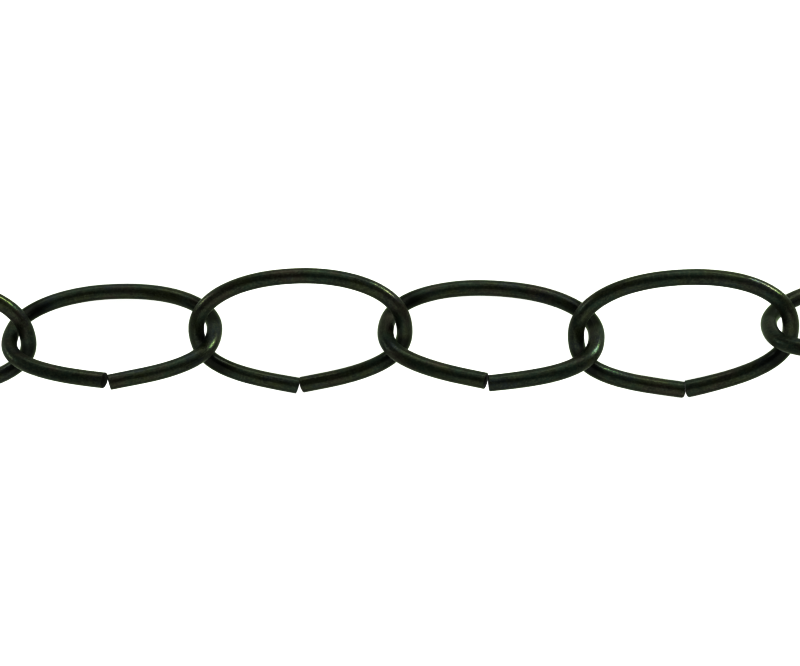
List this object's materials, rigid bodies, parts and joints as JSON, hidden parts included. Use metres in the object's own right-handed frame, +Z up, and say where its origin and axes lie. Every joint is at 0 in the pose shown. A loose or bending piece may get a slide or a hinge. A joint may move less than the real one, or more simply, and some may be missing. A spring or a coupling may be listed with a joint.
{
  "type": "chandelier chain",
  "caption": "Length of dark bronze chandelier chain: open-split oval wire links hooked square through one another, lying straight, every link free to swing on the next.",
  "frame": {"origin": "on the floor under the middle of the length of chain", "axes": "+X along the chain, +Z up, links leaning about 45 degrees to +Y and to -Y in turn"},
  "size_m": [0.3074, 0.0314, 0.0262],
  "materials": {
    "dark_bronze_wire": "satin"
  },
  "bodies": {
    "link_1": {"link_1": "dark_bronze_wire"},
    "link_2": {"link_2": "dark_bronze_wire"},
    "link_3": {"link_3": "dark_bronze_wire"},
    "link_4": {"link_4": "dark_bronze_wire"},
    "link_5": {"link_5": "dark_bronze_wire"},
    "link_6": {"link_6": "dark_bronze_wire"},
    "link_7": {"link_7": "dark_bronze_wire"},
    "link_8": {"link_8": "dark_bronze_wire"}
  },
  "joints": [
    {"name": "link_2_swing", "type": "hinge", "parent": "link_1", "child": "link_2", "pos_m": [-0.11084, -0.00364, 0.01097], "axis": [0.0185, 0.7069, -0.7071], "range_deg": [-120, 120]},
    {"name": "link_3_swing", "type": "hinge", "parent": "link_2", "child": "link_3", "pos_m": [-0.07301, -0.00288, 0.01165], "axis": [-0.0382, 0.7061, 0.7071], "range_deg": [-120, 120]},
    {"name": "link_4_swing", "type": "hinge", "parent": "link_3", "child": "link_4", "pos_m": [-0.03503, -0.00301, 0.01087], "axis": [0.0037, -0.7145, 0.6997], "range_deg": [-120, 120]},
    {"name": "link_5_swing", "type": "hinge", "parent": "link_4", "child": "link_5", "pos_m": [0.00289, -0.00118, 0.01162], "axis": [0.0408, -0.7084, -0.7046], "range_deg": [-120, 120]},
    {"name": "link_6_swing", "type": "hinge", "parent": "link_5", "child": "link_6", "pos_m": [0.04076, -0.00398, 0.0108], "axis": [0.0452, 0.7191, -0.6934], "range_deg": [-120, 120]},
    {"name": "link_7_swing", "type": "hinge", "parent": "link_6", "child": "link_7", "pos_m": [0.07814, -0.00166, 0.01165], "axis": [-0.037, 0.7061, 0.7071], "range_deg": [-120, 120]},
    {"name": "link_8_swing", "type": "hinge", "parent": "link_7", "child": "link_8", "pos_m": [0.11496, 0.004, 0.01269], "axis": [0.0836, -0.5529, 0.829], "range_deg": [-120, 120]}
  ]
}
